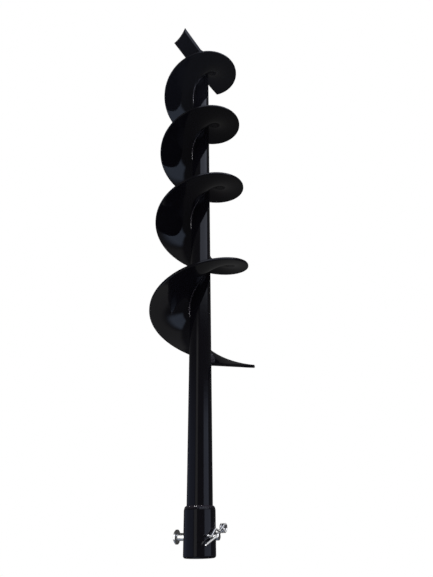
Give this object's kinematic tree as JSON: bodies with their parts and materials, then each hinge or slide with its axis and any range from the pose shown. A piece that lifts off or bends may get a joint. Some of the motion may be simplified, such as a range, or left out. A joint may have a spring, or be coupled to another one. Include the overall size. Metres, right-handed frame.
{
  "type": "soil auger",
  "caption": "Black steel soil auger with a helical flight on a round tube, a socket connector with a cross pin and spring clip, a raked cutting blade and a pilot point.",
  "frame": {"origin": "centre of the drive socket's open end", "axes": "+Z along the auger from the socket's open end to the point, +X to the right and +Y away when the clip's side faces the viewer"},
  "size_m": [0.1208, 0.1208, 0.779],
  "materials": {
    "black_enamel": "gloss black enamel",
    "zinc_plate": "bright zinc plate",
    "spring_wire": "bright spring wire"
  },
  "bodies": {
    "auger": {"shaft_tube": "black_enamel", "connector_sleeve": "black_enamel", "socket_stop": "black_enamel", "sleeve_weld": "black_enamel", "flight_turn_1": "black_enamel", "flight_turn_2": "black_enamel", "flight_turn_3": "black_enamel", "flight_turn_4": "black_enamel", "flight_turn_5": "black_enamel", "root_weld_1": "black_enamel", "root_weld_2": "black_enamel", "root_weld_3": "black_enamel", "root_weld_4": "black_enamel", "root_weld_5": "black_enamel", "seam_weld_1": "black_enamel", "seam_weld_2": "black_enamel", "seam_weld_3": "black_enamel", "seam_weld_4": "black_enamel", "flight_end_weld": "black_enamel", "cutting_blade": "black_enamel", "blade_weld": "black_enamel", "pilot_point": "black_enamel"},
    "pin": {"clevis_pin": "zinc_plate"},
    "clip": {"r_clip": "spring_wire", "r_clip_spring_leg": "spring_wire"}
  },
  "joints": [
    {"name": "pin_float", "type": "slide", "parent": "auger", "child": "pin", "axis": [0.9063, -0.4226, 0], "range_m": [0, 0.0074]},
    {"name": "clip_pull", "type": "slide", "parent": "pin", "child": "clip", "axis": [0.4088, 0.8766, 0.2538], "range_m": [0, 0.034], "deforming": ["r_clip_spring_leg"]}
  ]
}
